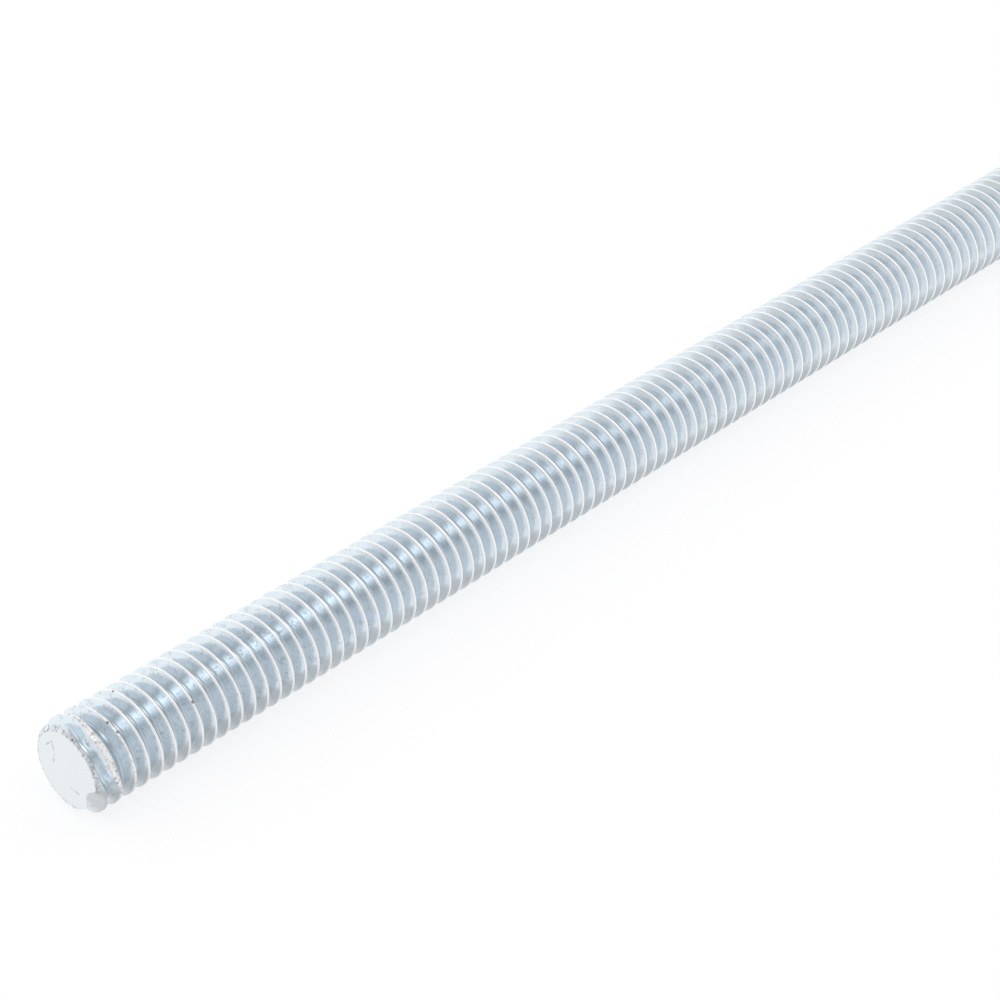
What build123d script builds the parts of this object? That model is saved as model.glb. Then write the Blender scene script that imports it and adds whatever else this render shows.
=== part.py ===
"""Fully threaded rod, M6 x 1 right-hand, cut to 100 mm, with a lead-in chamfer at each end.

The rod lies along +X. Its start face is on the plane X = 0, with the origin on the thread's axis.
All sizes are in millimetres.
"""

import os
from math import ceil, cos, pi, radians, sin, sqrt, tan

from build123d import *

# Overall sizes
rod_length = 100.0
major_diameter = 5.85  # over the crests of a rolled 6g thread, inside 5.794 to 5.974

# Thread form, a 60 degree thread with a flat crest and a round root
pitch = 1.0
flank_angle = 60.0
crest_flat = pitch / 8
root_radius = 0.1443 * pitch
start_angle = 10.0  # where the crest meets the start face, turned from +Y towards +Z

# Lead-in chamfer, the same at both ends
chamfer_depth = 0.645
chamfer_length = 0.65

# The thread is built in equal blocks of about this many turns
turns_per_block = 5
flank_points = 7
root_points = 9

# Worked out from the sizes above
crest_radius = major_diameter / 2
flank_slope = tan(radians(flank_angle / 2))
root_half_width = root_radius * cos(radians(flank_angle / 2))
flank_width = pitch / 2 - crest_flat / 2 - root_half_width
flank_depth = flank_width / flank_slope
thread_depth = flank_depth + root_radius * (1 - sin(radians(flank_angle / 2)))
root_centre = crest_radius - thread_depth + root_radius
turns = rod_length / pitch
block_count = ceil(turns / turns_per_block)
block_length = rod_length / block_count
block_turn = 360 * turns / block_count


def thread_radius(along):
    """Distance from the axis to the thread's surface, at a distance along the rod from a crest."""
    if along < crest_flat / 2:
        return crest_radius
    if along <= crest_flat / 2 + flank_width:
        return crest_radius - (along - crest_flat / 2) / flank_slope
    return root_centre - sqrt(root_radius**2 - (pitch / 2 - along) ** 2)


def section_points(first, last, count):
    """Points across the thread between two distances from the crest, which may be past the root."""
    points = []
    for step in range(count):
        along = first + (last - first) * step / (count - 1)
        angle = radians(start_angle) + 2 * pi * along / pitch
        radius = thread_radius(min(along, pitch - along))
        points.append((radius * cos(angle), radius * sin(angle)))
    return points


# The section square to the axis. Turned once for each pitch along the rod, it sweeps out the thread.
crest_half_angle = 180 * crest_flat / pitch
flank_start = crest_flat / 2
flank_end = flank_start + flank_width

with BuildSketch(Plane.YZ) as thread_section:
    with BuildLine():
        CenterArc((0, 0), crest_radius, start_angle - crest_half_angle, 2 * crest_half_angle)
        Spline(*section_points(flank_start, flank_end, flank_points))
        Spline(*section_points(flank_end, pitch - flank_end, root_points))
        Spline(*section_points(pitch - flank_end, pitch - flank_start, flank_points))
    make_face()

with BuildPart() as thread_block:
    add(
        Solid.extrude_linear_with_rotation(
            thread_section.sketch.face(), center=(0, 0, 0), normal=(block_length, 0, 0), angle=block_turn
        )
    )

# Everything inside the two chamfers, as one turned shape
end_radius = crest_radius - chamfer_depth
clear_radius = crest_radius + chamfer_depth
clear_length = chamfer_length * (clear_radius - end_radius) / chamfer_depth

with BuildPart() as chamfered_bar:
    with BuildSketch(Plane.XY):
        with BuildLine():
            Polyline(
                (0, 0),
                (0, end_radius),
                (clear_length, clear_radius),
                (rod_length - clear_length, clear_radius),
                (rod_length, end_radius),
                (rod_length, 0),
                close=True,
            )
        make_face()
    revolve(axis=Axis.X)


def block_place(index):
    """Where block number index goes: along the rod, and turned on with the thread."""
    return Location((index * block_length, 0, 0), (index * block_turn, 0, 0))


# The first and the last block take the chamfers
with BuildPart() as start_block:
    add(thread_block.part)
    add(chamfered_bar.part, mode=Mode.INTERSECT)

with BuildPart() as end_block:
    add(thread_block.part.moved(block_place(block_count - 1)))
    add(chamfered_bar.part, mode=Mode.INTERSECT)

with BuildPart() as threaded_rod:
    middle_blocks = [thread_block.part.moved(block_place(index)) for index in range(1, block_count - 1)]
    add([start_block.part, *middle_blocks, end_block.part])

threaded_rod.part.label = "threaded_rod"
rod = threaded_rod.part

os.makedirs("parts", exist_ok=True)
export_step(rod, "parts/threaded_rod.step")

box = rod.bounding_box()
print(f"threaded_rod: {len(rod.solids())} solid, {rod.volume:.2f} mm3, valid {rod.is_valid}")
print(f"box {box.min} to {box.max}")
print(f"thread depth {thread_depth:.4f} mm, {turns:.1f} turns in {block_count} blocks")
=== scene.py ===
from math import atan2, ceil, cos, degrees, pi, radians, sin, tan

import bpy
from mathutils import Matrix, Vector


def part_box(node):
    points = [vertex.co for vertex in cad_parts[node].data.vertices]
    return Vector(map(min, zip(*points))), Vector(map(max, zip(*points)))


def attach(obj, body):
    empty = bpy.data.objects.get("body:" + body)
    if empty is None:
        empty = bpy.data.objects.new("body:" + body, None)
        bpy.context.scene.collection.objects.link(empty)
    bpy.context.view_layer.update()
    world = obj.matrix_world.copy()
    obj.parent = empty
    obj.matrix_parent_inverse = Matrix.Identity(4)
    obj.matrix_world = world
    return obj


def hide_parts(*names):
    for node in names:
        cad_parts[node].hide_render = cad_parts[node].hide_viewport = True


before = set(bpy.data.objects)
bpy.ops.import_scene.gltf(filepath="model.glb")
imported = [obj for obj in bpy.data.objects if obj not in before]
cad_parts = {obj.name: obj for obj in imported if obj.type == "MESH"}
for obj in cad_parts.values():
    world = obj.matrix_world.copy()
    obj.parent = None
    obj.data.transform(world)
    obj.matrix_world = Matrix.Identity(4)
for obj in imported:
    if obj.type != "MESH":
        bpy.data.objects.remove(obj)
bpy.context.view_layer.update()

rodLow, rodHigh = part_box("threaded_rod")
rodLength = rodHigh[0] - rodLow[0]
crestRadius = (rodHigh[2] - rodLow[2]) / 2
print(f"frame loaded, rod {rodLength:.3f} m long, crest radius {crestRadius:.6f} m")


def deselectAll():
    if bpy.context.object and bpy.context.object.mode != "OBJECT":
        bpy.ops.object.mode_set(mode="OBJECT")
    bpy.ops.object.select_all(action="DESELECT")


# Camera, level and looking down along the rod from its start

cameraPlace = {
    "place": (-0.076669, -0.104957, 0.104258),
    "tilt": 55.9764,  # degrees up from straight down
    "turn": -46.7546,
    "lens": 107.08,
    "sensor": 36.0,
    "nearest": 0.001,  # what is closer than this is not drawn
}


def makeCamera():
    deselectAll()
    bpy.ops.object.camera_add(
        location=cameraPlace["place"],
        rotation=(radians(cameraPlace["tilt"]), 0, radians(cameraPlace["turn"])),
    )
    camera = bpy.context.object
    camera.name = "benchCamera"
    camera.data.lens = cameraPlace["lens"]
    camera.data.sensor_width = cameraPlace["sensor"]
    camera.data.clip_start = cameraPlace["nearest"]
    bpy.context.scene.camera = camera
    print("camera set")


makeCamera()


# shader sums are written as Python expressions on this
class Signal:
    def __init__(self, tree, socket=None):
        self.tree = tree
        self.socket = socket

    def node(self, kind, settings=None, sockets=None, output=0):
        made = self.tree.nodes.new(kind)
        for name, value in (settings or {}).items():
            if name == "stops":
                ramp = made.color_ramp
                ramp.interpolation = "EASE"
                while len(ramp.elements) < len(value):
                    ramp.elements.new(0.5)
                for element, (place, colour) in zip(ramp.elements, value):
                    element.position = place
                    element.color = colour
            else:
                setattr(made, name, value)
        for name, value in (sockets or {}).items():
            if isinstance(value, Signal):
                self.tree.links.new(value.socket, made.inputs[name])
            else:
                made.inputs[name].default_value = value
        return Signal(self.tree, made.outputs[output] if made.outputs else None)

    def maths(self, operation, first, second=0.0):
        return self.node("ShaderNodeMath", {"operation": operation}, {0: first, 1: second})

    def __add__(self, other):
        return self.maths("ADD", self, other)

    def __radd__(self, other):
        return self.maths("ADD", other, self)

    def __sub__(self, other):
        return self.maths("SUBTRACT", self, other)

    def __rsub__(self, other):
        return self.maths("SUBTRACT", other, self)

    def __mul__(self, other):
        return self.maths("MULTIPLY", self, other)

    def __rmul__(self, other):
        return self.maths("MULTIPLY", other, self)

    def __truediv__(self, other):
        return self.maths("DIVIDE", self, other)

    def __pow__(self, other):
        return self.maths("POWER", self, other)

    def size(self):
        return self.maths("ABSOLUTE", self)

    def most(self, other):
        return self.maths("MAXIMUM", self, other)

    def away(self, centre):
        # distance of this place from a fixed one
        return self.node("ShaderNodeVectorMath", {"operation": "DISTANCE"}, {0: self, 1: centre}, output=1)

    def ramp(self, low, high, atLow=0.0, atHigh=1.0):
        # a smooth step from atLow to atHigh
        return self.node(
            "ShaderNodeMapRange",
            {"interpolation_type": "SMOOTHSTEP"},
            {"Value": self, "From Min": low, "From Max": high, "To Min": atLow, "To Max": atHigh},
        )

    def blend(self, first, second):
        # first where this is 0, second where it is 1
        return self.node(
            "ShaderNodeMix", {"data_type": "RGBA"}, {0: self, 6: first, 7: second}, output=2
        )

    def split(self):
        return [self.node("ShaderNodeSeparateXYZ", None, {0: self}, output=k) for k in range(3)]

    def join(self, x, y, z):
        return self.node("ShaderNodeCombineXYZ", None, {0: x, 1: y, 2: z})


def newTree(owner):
    owner.use_nodes = True
    owner.node_tree.nodes.clear()
    return Signal(owner.node_tree)


# Floor and world

studio = {
    "floorSize": 6.0,
    "floorColour": (0.42, 0.42, 0.43, 1),
    "floorRoughness": 0.9,
    "floorShine": 0.1,
    "floorGlow": 0.72,  # for the camera's own rays, so that the floor reads white
    "diffuseShare": 0.75,  # how much of the tent's light falls on dull surfaces
    "endLevel": 1.1,  # towards the rod's far end, past the strips
    # how far along the rod a direction points where one set of strips gives way to the next
    "farToStart": (0.24, 0.38),
    "frontToRest": (-0.68, -0.63),
    "restToEnd": (0.5, 0.6),
}

# the tent's long strips run along the rod: angle from straight up towards -Y, and how bright it is there
strips = {
    "start": [  # as the rod's near end shows them
        (-180, 0.60), (-155, 0.60), (-140, 0.95), (-125, 1.08), (-60, 1.00), (-33, 0.98),
        (-20, 0.76), (-8, 0.44), (4, 1.05), (16, 1.70), (27, 1.25), (39, 0.50),
        (50, 0.36), (62, 0.52), (75, 0.72), (110, 0.76), (130, 0.80), (160, 0.70),
        (180, 0.60),
    ],
    "far": [  # as its far length shows them
        (-180, 0.60), (-125, 1.08), (-81, 1.06), (-59, 0.86), (-33, 0.82), (-20, 0.72),
        (-4, 0.64), (7, 0.61), (18, 0.66), (29, 0.70), (40, 0.79), (51, 0.85),
        (72, 0.88), (95, 0.85), (150, 0.86), (161, 0.70), (180, 0.64),
    ],
    "front": [  # as the flanks that face the start show them
        (-180, 0.85), (-125, 1.00), (-81, 1.06), (-69, 0.93), (-59, 0.75), (-41, 0.72),
        (90, 0.82), (131, 0.84), (150, 0.90), (171, 0.96), (180, 0.85),
    ],
}


def makeFloor():
    deselectAll()
    bpy.ops.mesh.primitive_plane_add(size=studio["floorSize"], location=(0, 0, rodLow[2]))
    ground = bpy.context.object
    ground.name = "paleFloor"
    bpy.ops.object.transform_apply(location=True, rotation=True, scale=True)
    paint = bpy.data.materials.new("palePaper")
    sheet = newTree(paint)
    surface = sheet.node(
        "ShaderNodeBsdfPrincipled", None,
        {
            "Base Color": studio["floorColour"],
            "Roughness": studio["floorRoughness"],
            "Specular IOR Level": studio["floorShine"],
        },
    )
    seen = sheet.node("ShaderNodeLightPath", None, None, output=0)
    glowLevel = seen * studio["floorGlow"]
    glow = sheet.node("ShaderNodeEmission", None, {"Color": (1, 1, 1, 1), "Strength": glowLevel})
    both = sheet.node("ShaderNodeAddShader", None, {0: surface, 1: glow})
    sheet.node("ShaderNodeOutputMaterial", None, {"Surface": both})
    ground.data.materials.append(paint)
    ground.visible_glossy = False  # bright metal shows the tent that stands on all sides
    print("floor made")


def makeWorld():
    world = bpy.data.worlds.new("lightTent")
    bpy.context.scene.world = world
    tent = newTree(world)
    toCamera, toDull = [tent.node("ShaderNodeLightPath", None, None, output=k) for k in (0, 2)]
    x, y, z = tent.node("ShaderNodeTexCoord", None, None, output=0).split()
    angle = tent.maths("ARCTAN2", y * -1, z) / (2 * pi) + 0.5
    levels = {}
    for name, strip in strips.items():
        # a colour ramp holds up to 1, so the levels go in halved
        stops = [((turn + 180) / 360, (level / 2, level / 2, level / 2, 1)) for turn, level in strip]
        shade = tent.node("ShaderNodeValToRGB", {"stops": stops}, {"Fac": angle})
        levels[name] = tent.node("ShaderNodeRGBToBW", None, {0: shade}) * 2
    level = levels["far"] + x.size().ramp(*studio["farToStart"]) * (levels["start"] - levels["far"])
    level = level + x.ramp(*studio["frontToRest"], 1.0, 0.0) * (levels["front"] - level)
    level = level + x.ramp(*studio["restToEnd"]) * (studio["endLevel"] - level)
    level = level * (1 - toDull * (1 - studio["diffuseShare"]))
    light = tent.node("ShaderNodeBackground", None, {"Color": (1, 1, 1, 1), "Strength": level})
    plain = tent.node("ShaderNodeBackground", None, {"Color": (1, 1, 1, 1), "Strength": 1.0})
    shown = tent.node("ShaderNodeMixShader", None, {0: toCamera, 1: light, 2: plain})
    tent.node("ShaderNodeOutputWorld", None, {"Surface": shown})
    print("world made")


makeFloor()
makeWorld()
bpy.context.scene.view_settings.view_transform = "Standard"


# The rod, one helix cut to length and chamfered

rodSizes = {
    "pitch": 0.001,
    "crestFlat": 0.000125,
    "crestRounding": 0.00002,
    "flankAngle": 60.0,
    "rootRadius": 0.0001443,
    "startAngle": 10.0,  # where the crest meets the start face, from +Y towards +Z
    "chamferDepth": 0.000645,
    "chamferLength": 0.00065,
    "stepsPerTurn": 90,
    "rootSteps": 5,
    "spareTurns": 2,  # made past each end and cut off
    "mergeShare": 1 / 4000,  # of the pitch, points closer than this are one
    "cutShare": 1 / 1000,  # of the pitch, how near the cutting plane counts as on it
    "clearShare": 1.5,  # the chamfer cone goes on past the crest, to this many chamfer lengths
}

# the rolled start: its first groove is drawn back to the face and its second crest is flattened
rolledStart = {
    "drawnBack": 0.00042,
    "from": (70, 110),  # degrees of thread from the start face, fading in
    "to": (155, 190),  # and fading out
    "crestShare": 0.4,  # how far the second crest's far edge goes with its near edge
    "stillAt": 1.5,  # in pitches past the first crest, where the thread is no longer drawn back
    "chamferDepth": 0.00042,
    "chamferLength": 0.00042,
    "lapAt": 208,  # degrees from +Y towards +Z, where the first thread runs out over the face
    "lapDepth": 0.00065,
    "lapFlat": 6,  # degrees each side of its middle
    "lapWidth": 30,
}


def profileSteps():
    # the outline over one pitch, as moves along the rod and out from it, from a crest's near edge
    pitch = rodSizes["pitch"]
    halfAngle = radians(rodSizes["flankAngle"] / 2)
    roundWidth = rodSizes["crestRounding"]
    roundDepth = roundWidth * tan(halfAngle)
    flat = rodSizes["crestFlat"] - 2 * roundDepth
    rootRadius = rodSizes["rootRadius"]
    flankWidth = (pitch - flat) / 2 - roundWidth - rootRadius * cos(halfAngle)
    flankDepth = flankWidth / tan(halfAngle)
    steps = [(flat, 0.0), (roundWidth, -roundDepth), (flankWidth, -flankDepth)]
    sweep = pi - 2 * halfAngle
    count = rodSizes["rootSteps"]
    turns = [sweep * (step / count - 0.5) for step in range(count + 1)]
    for before, after in zip(turns, turns[1:]):
        steps.append((rootRadius * (sin(after) - sin(before)), rootRadius * (cos(before) - cos(after))))
    steps += [(flankWidth, flankDepth), (roundWidth, roundDepth)]
    return flat, steps


def fade(value, low, high):
    # a smooth step from 0 to 1, as a number
    share = min(max((value - low) / (high - low), 0), 1)
    return share * share * (3 - 2 * share)


def aroundRod(radius, turn):
    # across and up of a place round the axis, turned from +Y towards +Z
    return radius * cos(radians(turn)), radius * sin(radians(turn))


def drawStartBack(thread):
    pitch = rodSizes["pitch"]
    halfCrest = rodSizes["crestFlat"] / pitch / 2
    drawn = thread.vertex_groups.new(name="drawnBack")
    for vertex in thread.data.vertices:
        along, across, up = vertex.co
        turned = (degrees(atan2(up, across)) - rodSizes["startAngle"]) % 360
        ridge = along / pitch - turned / 360  # 0 on the first crest, 1 on the second
        weight = fade(turned, *rolledStart["from"]) * (1 - fade(turned, *rolledStart["to"]))
        if ridge > 1:
            weight *= rolledStart["crestShare"] * (1 - fade(ridge, 1 + halfCrest, rolledStart["stillAt"]))
        if weight > 0:
            drawn.add([vertex.index], weight, "REPLACE")
    pull = thread.modifiers.new("pull", "DISPLACE")
    pull.direction = "X"
    pull.mid_level = 0
    pull.strength = -rolledStart["drawnBack"]
    pull.vertex_group = drawn.name
    bpy.ops.object.modifier_apply(modifier=pull.name)
    thread.vertex_groups.clear()


def makeThread():
    pitch = rodSizes["pitch"]
    flat, steps = profileSteps()
    firstCrest = -pitch * (rodSizes["spareTurns"] + rodSizes["startAngle"] / 360)
    deselectAll()
    bpy.ops.mesh.primitive_plane_add(size=pitch, location=(firstCrest - flat / 2, crestRadius, 0))
    thread = bpy.context.object
    thread.name = "rolledThread"
    bpy.ops.object.transform_apply(location=True, rotation=True, scale=True)
    bpy.ops.object.mode_set(mode="EDIT")
    bpy.ops.mesh.select_all(action="SELECT")
    bpy.ops.mesh.merge(type="CENTER")
    for along, out in steps:
        bpy.ops.mesh.extrude_region_move(TRANSFORM_OT_translate={"value": (along, out, 0)})
    bpy.ops.object.mode_set(mode="OBJECT")
    helix = thread.modifiers.new("helix", "SCREW")
    helix.axis = "X"
    helix.angle = 2 * pi
    helix.screw_offset = pitch
    helix.iterations = ceil(rodLength / pitch) + 2 * rodSizes["spareTurns"]
    helix.steps = rodSizes["stepsPerTurn"]
    helix.render_steps = rodSizes["stepsPerTurn"]
    helix.use_merge_vertices = False
    bpy.ops.object.modifier_apply(modifier=helix.name)
    bpy.ops.object.mode_set(mode="EDIT")
    bpy.ops.mesh.select_all(action="SELECT")
    bpy.ops.mesh.remove_doubles(threshold=pitch * rodSizes["mergeShare"])
    bpy.ops.object.mode_set(mode="OBJECT")
    drawStartBack(thread)
    bpy.ops.object.mode_set(mode="EDIT")
    for place, outwards in ((rodLow[0], -1), (rodHigh[0], 1)):
        bpy.ops.mesh.select_all(action="SELECT")
        bpy.ops.mesh.bisect(
            plane_co=(place, 0, 0), plane_no=(outwards, 0, 0), use_fill=True,
            clear_outer=True, clear_inner=False, threshold=pitch * rodSizes["cutShare"],
        )
    bpy.ops.mesh.select_all(action="SELECT")
    bpy.ops.mesh.normals_make_consistent(inside=False)
    bpy.ops.object.mode_set(mode="OBJECT")
    return thread


def makeChamferTool():
    # everything inside the two chamfers, which go on outwards past the crests
    startRadius = crestRadius - rolledStart["chamferDepth"]
    startSlope = rolledStart["chamferDepth"] / rolledStart["chamferLength"]
    endRadius = crestRadius - rodSizes["chamferDepth"]
    endSlope = rodSizes["chamferDepth"] / rodSizes["chamferLength"]
    clear = rodSizes["chamferLength"] * rodSizes["clearShare"]
    lapRing = rolledStart["chamferLength"]
    rings = [  # moves along the rod and the radius after each
        (lapRing, startRadius + lapRing * startSlope),
        (clear - lapRing, startRadius + clear * startSlope),
        (rodLength - 2 * clear, endRadius + clear * endSlope),
        (clear, endRadius),
    ]
    deselectAll()
    bpy.ops.mesh.primitive_circle_add(
        vertices=2 * rodSizes["stepsPerTurn"], radius=startRadius, fill_type="NGON",
        location=(rodLow[0], 0, 0), rotation=(0, -pi / 2, 0),
    )
    tool = bpy.context.object
    bpy.ops.object.transform_apply(location=True, rotation=True, scale=True)
    bpy.ops.object.mode_set(mode="EDIT")
    bpy.ops.mesh.select_all(action="SELECT")
    radius = startRadius
    for along, nextRadius in rings:
        bpy.ops.mesh.extrude_region_move(TRANSFORM_OT_translate={"value": (along, 0, 0)})
        bpy.ops.transform.resize(value=(1, nextRadius / radius, nextRadius / radius))
        radius = nextRadius
    bpy.ops.mesh.select_all(action="SELECT")
    bpy.ops.mesh.normals_make_consistent(inside=False)
    bpy.ops.mesh.select_all(action="DESELECT")
    bpy.ops.object.mode_set(mode="OBJECT")
    lapMiddle = aroundRod(1, rolledStart["lapAt"])
    deepest = rolledStart["lapDepth"] / startRadius
    for vertex in tool.data.vertices:
        if vertex.co.x < rodLow[0] + lapRing / 2:
            turned = degrees(vertex.co.yz.angle(lapMiddle))
            vertex.co.yz *= 1 - deepest * (1 - fade(turned, rolledStart["lapFlat"], rolledStart["lapWidth"]))
    return tool


def cutChamfers(thread):
    tool = makeChamferTool()
    deselectAll()
    thread.select_set(True)
    bpy.context.view_layer.objects.active = thread
    cut = thread.modifiers.new("chamfers", "BOOLEAN")
    cut.operation = "INTERSECT"
    cut.object = tool
    cut.solver = "EXACT"
    bpy.ops.object.modifier_apply(modifier=cut.name)
    bpy.data.objects.remove(tool)


# Zinc plating, its wear and its dirt, and painted shade, reflections and highlights on it

zinc = {
    "colour": (0.73, 0.82, 0.89, 1),
    "pale": (0.80, 0.87, 0.92, 1),
    "dull": (0.42, 0.47, 0.51, 1),  # scuffed and scratched patches; in the scuffs also a painted dark reflection, and on the underside near the start a painted shade
    "straw": (0.84, 0.86, 0.74, 1),  # faint passivation tint
    "crest": (0.98, 0.985, 0.99, 1),  # a painted highlight: near white along the crest lines
    "cutFace": (0.87, 0.91, 0.935, 1),
    # painted shade: darker in the thread's roots, which dims the roots' highlight
    "root": (0.56, 0.63, 0.69, 1),
    "roughness": 0.17,
    "crestRoughness": 0.42,
    "faceRoughness": 0.42,
    "dirtRoughness": 0.75,
    "unevenRoughness": 0.1,
    "scuffAndReflectionRoughness": 0.15,
    "dirtMatt": 0.7,  # how much of the metal's shine the dirt takes
    "bumpStrength": 0.25,
    "bumpDistance": 0.00002,
}

# fineness of each pattern, per metre, its detail and its roughness
grain = {
    "blotch": (1800.0, 4.0, 0.6),
    "mottle": (6500.0, 3.0, 0.7),
    "grime": (4200.0, 4.0, 0.7),
    "scratched": (700.0, 2.0, 0.6),
    "tinted": (1400.0, 2.0, 0.6),
}

# streaks run round the rod, so they are stretched in angle and fine in radius
streaks = {"round": 1.6, "outwards": 16000, "along": 2500, "detail": 3.0, "roughness": 0.6}

# between which values of its pattern a mark starts and is full
onset = {
    "pale": (0.35, 0.65),
    "scuffAndReflectionBlotch": (0.50, 0.62),
    "scuffAndReflectionMottle": (0.42, 0.58),
    "scratchStreak": (0.56, 0.66),
    "scratchPatch": (0.46, 0.6),
    "undersideStreak": (0.4, 0.6),
    "strawPatch": (0.58, 0.7),
    "strawMottle": (0.48, 0.6),
    "dirt": (0.46, 0.64),
    "speck": (0.66, 0.70),
    "darkDirt": (0.6, 0.7),
}

# along the rod from the start face, in metres, where a mark comes in or goes out
stretch = {
    "face": (0.000002, 0.00001),
    "rim": (0.00016, 0.00024),
    "root": (0.0004, 0.0012),
    "undersideIn": (0.0007, 0.0016),
    "undersideOut": (0.009, 0.022),
    "scuffAndPaintedReflection": (0.012, 0.03),
}

# how far inside the crests a mark lies, in metres, from its inner to its outer edge
inset = {"crest": (0.00005, 0.00002), "root": (0.00057, 0.00053), "rim": (0.00058, 0.00044)}

# how much of its colour a mark gives
strength = {
    "straw": 0.6,
    "undersideDarkening": 0.4,
    "scuffAndPaintedReflection": 0.55,
    "farScuffAndPaintedReflection": 0.45,  # of the scuffs' and their painted reflection's own, past the start
    "scratch": 0.5,
    "root": 0.8,
    "lap": 0.9,
    "dirt": 0.7,
    "speck": 0.4,
    "darkDirt": 0.7,
    "nick": 0.8,
    "score": 0.4,
}

# how high or deep each pattern stands in the bump
relief = {"streak": 0.35, "blotch": 0.4, "mottle": 0.07, "scratch": 0.1, "score": 0.5, "dark": 0.4}

# painted shade: the underside near the start face is darkened towards the dull colour, broken up by streaks
undersideShade = {
    "towards": -0.707,  # the underside, half from -Y and half from -Z
    "edge": (0.45, 0.85),
    "least": 0.35,  # of the painted shade between its streaks
}

soil = {
    "colour": (0.60, 0.53, 0.47, 1),
    "dark": (0.20, 0.18, 0.17, 1),
    "length": 0.0036,  # how far from the start face the crests are soiled
    "fullShare": 0.3,  # of that length, where they are soiled all over
}

# metal lapped over the edge of the face: its middle along the rod and out from the axis, and its reach
lapped = {"along": 0.0002, "outShare": 0.8, "reach": (0.0006, 0.0010)}

# scores in the start face, as (across, up) from its centre, in metres
scores = [
    ((0.00165, 0.00092), (0.00116, 0.00140)),
    ((0.00116, 0.00140), (0.00087, 0.00172)),
    ((0.00112, 0.00136), (0.00094, 0.00078)),
    ((0.00094, 0.00078), (0.00111, -0.00003)),
    ((-0.00023, -0.00116), (-0.00086, -0.00120)),
]
scoreWidth = (0.00001, 0.00006)
scoreWander = 0.0004

# nicks: along the rod, degrees from +Y towards +Z, radius below the crest, reach
nicks = [
    (0.00010, 135, 0.00020, 0.00014),
    (0.00005, 106, 0.00030, 0.00010),
    (0.00222, 113, 0.0, 0.00012),
    (0.00236, 128, 0.0, 0.00010),
    (0.00740, 142, 0.0, 0.00013),
    (0.00415, 78, 0.0, 0.00010),
]


def lineDistance(face, across, up, start, end):
    run, rise = end[0] - start[0], end[1] - start[1]
    share = ((across - start[0]) * run + (up - start[1]) * rise) / (run * run + rise * rise)
    share = face.maths("MINIMUM", face.maths("MAXIMUM", share, 0.0), 1.0)
    offAcross = across - start[0] - share * run
    offUp = up - start[1] - share * rise
    return (offAcross * offAcross + offUp * offUp) ** 0.5


def makeCloud(face, place, name):
    scale, detail, roughness = grain[name]
    return face.node(
        "ShaderNodeTexNoise", {"noise_dimensions": "3D"},
        {"Vector": place, "Scale": scale, "Detail": detail, "Roughness": roughness},
    )


def makeStreak(face, along, across, up, radius):
    bent = face.join(
        across / radius * streaks["round"], up / radius * streaks["round"], radius * streaks["outwards"]
    )
    return face.node(
        "ShaderNodeTexNoise", {"noise_dimensions": "4D"},
        {
            "Vector": bent, "W": along * streaks["along"], "Scale": 1.0,
            "Detail": streaks["detail"], "Roughness": streaks["roughness"],
        },
    )


def insideCrest(radius, name, atLow=0.0, atHigh=1.0):
    inner, outer = inset[name]
    return radius.ramp(crestRadius - inner, crestRadius - outer, atLow, atHigh)


def addNicks(place, mottle, dark):
    for x, turn, below, reach in nicks:
        gap = place.away((x, *aroundRod(crestRadius - below, turn))) + (mottle - 0.5) * reach
        dark = dark.most(gap.ramp(reach / 2, reach, strength["nick"], 0.0))
    return dark


def makeScores(face, across, up, blotch):
    lines = []
    for start, end in scores:
        gap = lineDistance(face, across, up, start, end) + (blotch - 0.5) * scoreWander
        lines.append(gap.size().ramp(*scoreWidth, 1.0, 0.0))
    marks = lines[0]
    for line in lines[1:]:
        marks = marks.most(line)
    return marks


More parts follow.
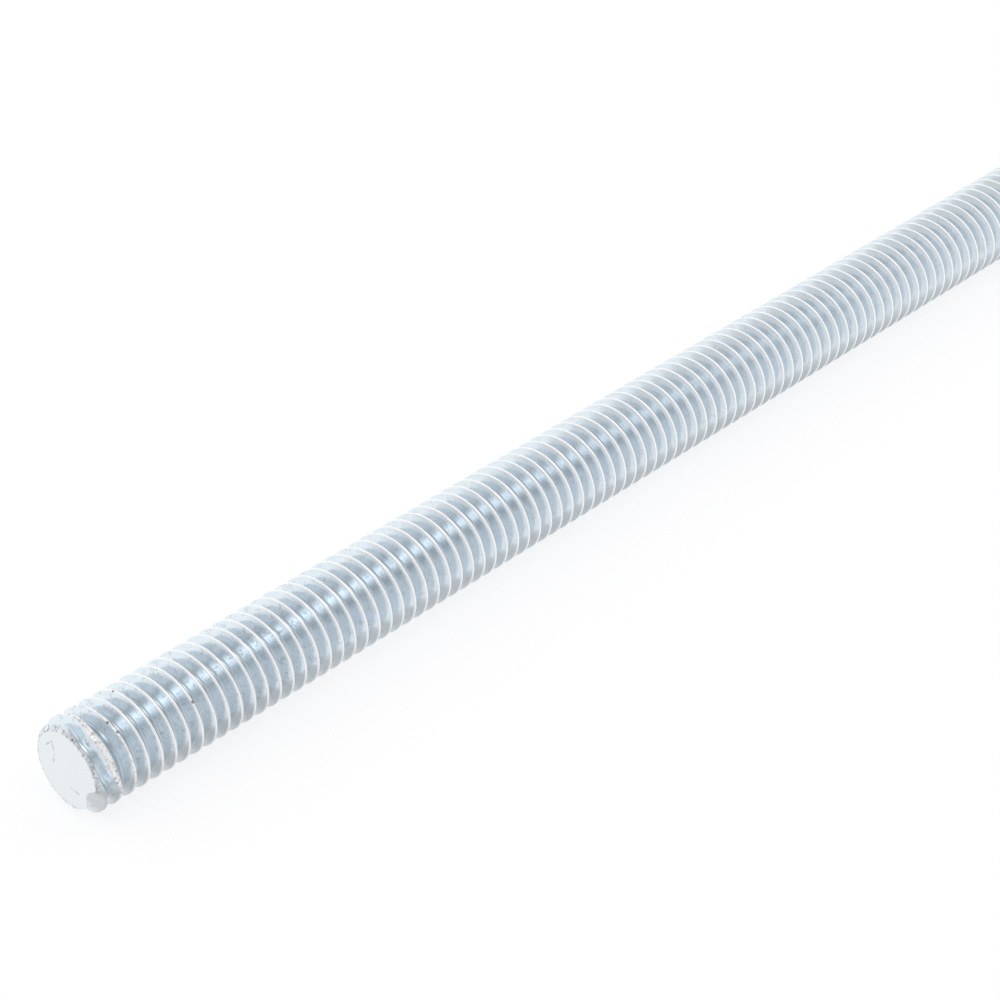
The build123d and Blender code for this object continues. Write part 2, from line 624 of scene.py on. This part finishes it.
def makeZinc():
    plating = bpy.data.materials.new("brightZinc")
    face = newTree(plating)
    place = face.node("ShaderNodeTexCoord", None, None, output=3)
    along, across, up = place.split()
    radius = (across * across + up * up) ** 0.5
    streak = makeStreak(face, along, across, up, radius)
    clouds = {name: makeCloud(face, place, name) for name in grain}
    blotch, mottle, grime = clouds["blotch"], clouds["mottle"], clouds["grime"]

    onFace = along.ramp(*stretch["face"], 1.0, 0.0)
    crest = insideCrest(radius, "crest")
    # painted shade in the roots, from a little past the start face
    root = insideCrest(radius, "root", 1.0, 0.0) * along.ramp(*stretch["root"])
    # scuffs, partly a painted dark reflection: mottled dark patches, strongest near the start
    scuffAndPaintedReflection = blotch.ramp(*onset["scuffAndReflectionBlotch"]) * mottle.ramp(*onset["scuffAndReflectionMottle"])
    scuffAndPaintedReflection = scuffAndPaintedReflection * along.ramp(*stretch["scuffAndPaintedReflection"], 1.0, strength["farScuffAndPaintedReflection"])
    scratch = streak.ramp(*onset["scratchStreak"]) * clouds["scratched"].ramp(*onset["scratchPatch"])
    # painted shade on the underside near the start, streaked
    under = ((across + up) / radius * undersideShade["towards"]).ramp(*undersideShade["edge"])
    under = under * along.ramp(*stretch["undersideOut"], 1.0, 0.0) * along.ramp(*stretch["undersideIn"])
    undersideDarkening = under * (undersideShade["least"] + streak.ramp(*onset["undersideStreak"]) * (1 - undersideShade["least"]))
    straw = clouds["tinted"].ramp(*onset["strawPatch"]) * mottle.ramp(*onset["strawMottle"])
    lapMiddle = (lapped["along"], *aroundRod(crestRadius * lapped["outShare"], rolledStart["lapAt"]))
    lap = place.away(lapMiddle).ramp(*lapped["reach"], 1.0, 0.0) * (1 - onFace)

    rim = along.ramp(*stretch["rim"], 1.0, 0.0) * insideCrest(radius, "rim")
    soiledCrest = crest * along.ramp(soil["length"] * soil["fullShare"], soil["length"], 1.0, 0.0)
    dirt = rim.most(soiledCrest) * grime.ramp(*onset["dirt"])
    speck = crest * grime.ramp(*onset["speck"])
    dark = dirt * mottle.ramp(*onset["darkDirt"]) * strength["darkDirt"]
    dark = addNicks(place, mottle, dark)
    marks = makeScores(face, across, up, blotch) * onFace

    # scratches and scuffs, with painted dark reflections in the scuffs and painted shade on the underside
    wearAndPaintedShade = (scuffAndPaintedReflection * strength["scuffAndPaintedReflection"]).most(scratch * strength["scratch"])
    wearAndPaintedShade = (undersideDarkening * strength["undersideDarkening"]).most(wearAndPaintedShade)
    body = (streak * 0.5 + blotch * 0.5).ramp(*onset["pale"]).blend(zinc["colour"], zinc["pale"])
    body = (straw * strength["straw"]).blend(body, zinc["straw"])
    body = wearAndPaintedShade.blend(body, zinc["dull"])
    body = (root * strength["root"]).blend(body, zinc["root"])
    # painted highlight: the crests are blended to near white
    body = crest.blend(body, zinc["crest"])
    body = onFace.most(lap * strength["lap"]).blend(body, zinc["cutFace"])
    body = (dirt * strength["dirt"]).most(speck * strength["speck"]).blend(body, soil["colour"])
    body = dark.most(marks * strength["score"]).blend(body, soil["dark"])

    dirty = dirt.most(dark)
    rough = zinc["roughness"] + (blotch - 0.5) * zinc["unevenRoughness"] + scuffAndPaintedReflection * zinc["scuffAndReflectionRoughness"]
    rough = rough + crest * (zinc["crestRoughness"] - rough)
    rough = rough + onFace.most(lap) * (zinc["faceRoughness"] - rough)
    rough = rough + dirty * (zinc["dirtRoughness"] - rough)
    height = streak * relief["streak"] + blotch * relief["blotch"] + mottle * relief["mottle"]
    height = height - scratch * relief["scratch"] - marks * relief["score"] - dark * relief["dark"]
    bump = face.node(
        "ShaderNodeBump", None,
        {"Strength": zinc["bumpStrength"], "Distance": zinc["bumpDistance"], "Height": height},
    )
    shine = 1 - dirty * zinc["dirtMatt"]
    metal = face.node(
        "ShaderNodeBsdfPrincipled", None,
        {"Base Color": body, "Metallic": shine, "Roughness": rough, "Normal": bump},
    )
    face.node("ShaderNodeOutputMaterial", None, {"Surface": metal})
    print("zinc plating made")
    return plating


thread = makeThread()
print("thread turned", len(thread.data.polygons))
cutChamfers(thread)
print("chamfers cut", len(thread.data.polygons))
deselectAll()
thread.select_set(True)
bpy.context.view_layer.objects.active = thread
# small, so that a flank stays flat between crest and root and is smooth only round the rod
bpy.ops.object.shade_smooth_by_angle(angle=radians(10))
thread.data.materials.clear()
thread.data.materials.append(makeZinc())
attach(thread, "root")
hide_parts("threaded_rod")
